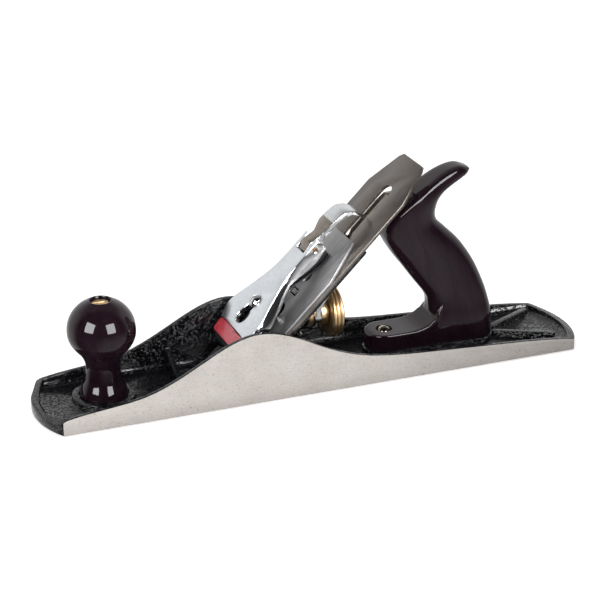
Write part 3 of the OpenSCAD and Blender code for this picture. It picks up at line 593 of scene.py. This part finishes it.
def build_panel():
    """Thin enamel panel on the flat step above the lip of the lever cap."""
    s0, s1, half0, half1, n0, n1, r = 24.2, 32.7, 20.0, 20.7, 18.6, 18.9, 1.6
    corners = [(s0 + r, half0 - r), (s1 - r, half1 - r), (s1 - r, r - half1), (s0 + r, r - half0)]
    turn = 8
    outline = []
    for (cs, cy), start in zip(corners, (180, 90, 0, -90)):
        for k in range(turn + 1):
            a = math.radians(start - 90 * k / turn)
            outline.append((cs + r * math.cos(a), cy + r * math.sin(a)))
    bm = bmesh.new()
    rings = []
    for grow, lift in ((0, -0.05), (0, 0.14), (-0.12, 0.22)):
        ring = []
        for s, y in outline:
            mid = (s0 + s1) / 2
            s_in = s + (grow if s > mid else -grow)
            y_in = y + math.copysign(grow, y)
            x, z = bed(s_in, n0 + (n1 - n0) * (s - s0) / (s1 - s0) + lift)
            ring.append(bm.verts.new((x * MM, y_in * MM, z * MM)))
        rings.append(ring)
    for a, b in zip(rings, rings[1:]):
        for k in range(len(a)):
            k2 = (k + 1) % len(a)
            bm.faces.new([a[k], a[k2], b[k2], b[k]])
    bm.faces.new(rings[0])
    bm.faces.new(rings[-1])
    bmesh.ops.recalc_face_normals(bm, faces=bm.faces)
    mesh = bpy.data.meshes.new("cap_panel")
    bm.to_mesh(mesh)
    bm.free()
    new_piece("lever_cap_panel", mesh, "lever_cap", [RED])
    smooth(mesh, 35)


def build_eased():
    eased("base_casting", 0.5, "base", [JAPAN, GROUND], casting_face)
    eased("frog", 0.4, "frog", [JAPAN])
    eased("plane_iron", 0.22, "irons", [IRON])
    eased("cap_iron", 0.22, "irons", [CAP_STEEL])
    eased("lever_cap", 0.45, "lever_cap", [NICKEL, CHROME], cap_face)
    # painted reflection: the cam lever's tip and edges in bright steel, its front slope in the darker
    # plate
    eased("cam_lever", 0.5, "cam_lever", [STEEL, LEVER], lever_face)
    eased("yoke", 0.35, "yoke", [STEEL, CAP_STEEL], yoke_face)
    for node, body, slot, material, width in (
            ("yoke_pin", "frog", "fittings_steel", STEEL, 0.2),
            ("depth_collar", "depth_collar", "brass", BRASS, 0.3),
            ("adjuster_stud", "frog", "dark_steel", BLACK_STEEL, 0.4),
            ("lateral_lever", "lateral_lever", "fittings_steel", LEVER, 0.25),
            ("lateral_disc", "lateral_lever", "fittings_steel", STEEL, 0.15),
            ("lateral_rivet", "frog", "fittings_steel", STEEL, 0.12),
            ("lever_cap_screw", "cap_screw", "fittings_steel", CHROME, 0.2),
            ("cap_iron_screw", "irons", "fittings_steel", STEEL, 0.25),
            ("lever_cap_spring", "lever_cap", "dark_steel", BLACK_STEEL, 0.12),
            ("spring_rivet", "lever_cap", "fittings_steel", STEEL, 0.12),
            ("cam_pin", "lever_cap", "fittings_steel", PIN_BROWN, 0.15),
            ("tote_screw", "base", "dark_steel", LEVER, 0.2),
            ("tote_nut", "base", "brass", BRASS, 0.3),
            ("tote_bolt", "base", "fittings_steel", STEEL, 0.2),
            ("knob_nut", "base", "brass", BRASS, 0.3),
            ("knob_bolt", "base", "fittings_steel", STEEL, 0.2),
            ("frog_screws", "base", "fittings_steel", STEEL, 0.2),
            ("frog_washers", "base", "fittings_steel", STEEL, 0.12),
            ("frog_adjust_screw", "frog_adjuster", "fittings_steel", STEEL, 0.2),
            ("frog_adjust_plate", "frog", "dark_steel", BLACK_STEEL, 0.12),
            ("plate_screw", "frog", "fittings_steel", STEEL, 0.2)):
        eased(node, width, body, [material])


build_knob()
build_tote()
build_wheel()
build_panel()
build_eased()


# -------------------------------------------------------- floor, light, view


def quad(name, corners, material):
    mesh = bpy.data.meshes.new(name)
    mesh.from_pydata(corners, [], [range(len(corners))])
    mesh.materials.append(material)
    ob = bpy.data.objects.new(name, mesh)
    bpy.context.scene.collection.objects.link(ob)
    return ob


def build_stage():
    """A pale floor just under the sole, which the gloss doesn't show."""
    floor = Mat("pale_floor", (0.93, 0.93, 0.93), rough=0.9)
    floor.set("Emission Color", (1, 1, 1, 1))
    floor.set("Emission Strength", 0.2)
    shade = floor.noise(3, 2, 0.5)
    floor.color(floor.ramp(shade, [(0.0, (0.92, 0.92, 0.92)), (1.0, (0.94, 0.94, 0.94))]))
    z = -0.0004
    ob = quad("floor", [(-6, -6, z), (6, -6, z), (6, 6, z), (-6, 6, z)], floor.mat)
    ob.visible_glossy = False


def build_world():
    """White behind the object, dim in front and overhead, and softer light from below that
    fades to the toe's side."""
    world = bpy.data.worlds.new("studio")
    bpy.context.scene.world = world
    world.use_nodes = True
    tree = world.node_tree
    back = tree.nodes["Background"]
    place = tree.nodes.new("ShaderNodeTexCoord")

    def band(direction, start, low, end, high):
        """Grey that runs from low to high as the view turns towards direction."""
        dot = tree.nodes.new("ShaderNodeVectorMath")
        dot.operation = "DOT_PRODUCT"
        tree.links.new(place.outputs["Generated"], dot.inputs[0])
        dot.inputs[1].default_value = Vector(direction).normalized()
        grey = tree.nodes.new("ShaderNodeMapRange")
        for name, value in (("From Min", start), ("From Max", end), ("To Min", low),
                            ("To Max", high)):
            grey.inputs[name].default_value = value
        tree.links.new(dot.outputs["Value"], grey.inputs["Value"])
        return grey.outputs["Result"]

    def join(a, b, how):
        n = tree.nodes.new("ShaderNodeMath")
        n.operation = how
        tree.links.new(a, n.inputs[0])
        tree.links.new(b, n.inputs[1])
        return n.outputs[0]

    above = join(band((0.30, 0.93, 0.0), -0.1, 0.03, 0.25, 1.0),
                 band((0, 0, 1), 0.50, 1.0, 0.75, 0.35), "MULTIPLY")
    below = join(band((0, 0, -1), 0.02, 0.0, 0.42, 0.85), band((-1, 0, 0), 0.1, 1.0, 0.6, 0.1),
                 "MULTIPLY")
    tree.links.new(join(above, below, "MAXIMUM"), back.inputs["Color"])
    back.inputs["Strength"].default_value = 1.0


def area(name, place, target, size, power, glossy=True, diffuse=True):
    """A rectangular lamp that points at target."""
    lamp = bpy.data.lights.new(name, "AREA")
    lamp.shape = "RECTANGLE"
    lamp.size, lamp.size_y = size
    lamp.energy = power
    ob = bpy.data.objects.new(name, lamp)
    bpy.context.scene.collection.objects.link(ob)
    ob.location = place
    aim = Vector(target) - Vector(place)
    ob.rotation_euler = aim.to_track_quat("-Z", "Y").to_euler()
    ob.visible_glossy = glossy
    ob.visible_diffuse = diffuse


def around(azimuth, elevation, distance):
    """A place round the origin. Azimuth 0 is straight in front of the near cheek."""
    a, e = math.radians(azimuth), math.radians(elevation)
    return Vector((math.sin(a) * math.cos(e), -math.cos(a) * math.cos(e), math.sin(e))) * distance


def build_lights():
    """Two windows that only the gloss shows, and soft light that the gloss doesn't show."""
    centre = Vector((0, 0, 0.05))
    view_side, away = -21.4, 1.5
    area("overhead", (0, 0, 2.2), (0, 0, 0), (3.0, 3.0), 56, glossy=False)
    area("fill", (-0.55, -1.1, 0.75), (-0.05, 0, 0.02), (0.7, 0.5), 9, glossy=False)
    area("window_left", centre + around(view_side - 39.5, 23.5, away), centre, (0.76, 0.80), 38,
         diffuse=False)
    area("window_right", centre + around(view_side + 36, 22.5, away), centre, (0.78, 0.90), 41,
         diffuse=False)


def build_camera():
    """The photo's view, as the solve of the view gave it."""
    a, e = math.radians(21.41), math.radians(23.10)
    back = Vector((-math.sin(a) * math.cos(e), -math.cos(a) * math.cos(e), math.sin(e)))
    right = Vector((math.cos(a), -math.sin(a), 0))
    up = back.cross(right)
    camera = bpy.data.cameras.new("view")
    camera.sensor_width = 36
    camera.lens = 117.6
    camera.clip_start = 0.01
    ob = bpy.data.objects.new("view", camera)
    bpy.context.scene.collection.objects.link(ob)
    turn = Matrix((right, up, back)).transposed().to_4x4()
    ob.matrix_world = Matrix.Translation(Vector((-0.4129, -1.0331, 0.5225))) @ turn
    bpy.context.scene.camera = ob


build_stage()
build_world()
build_lights()
build_camera()
bpy.context.scene.view_settings.view_transform = "Standard"
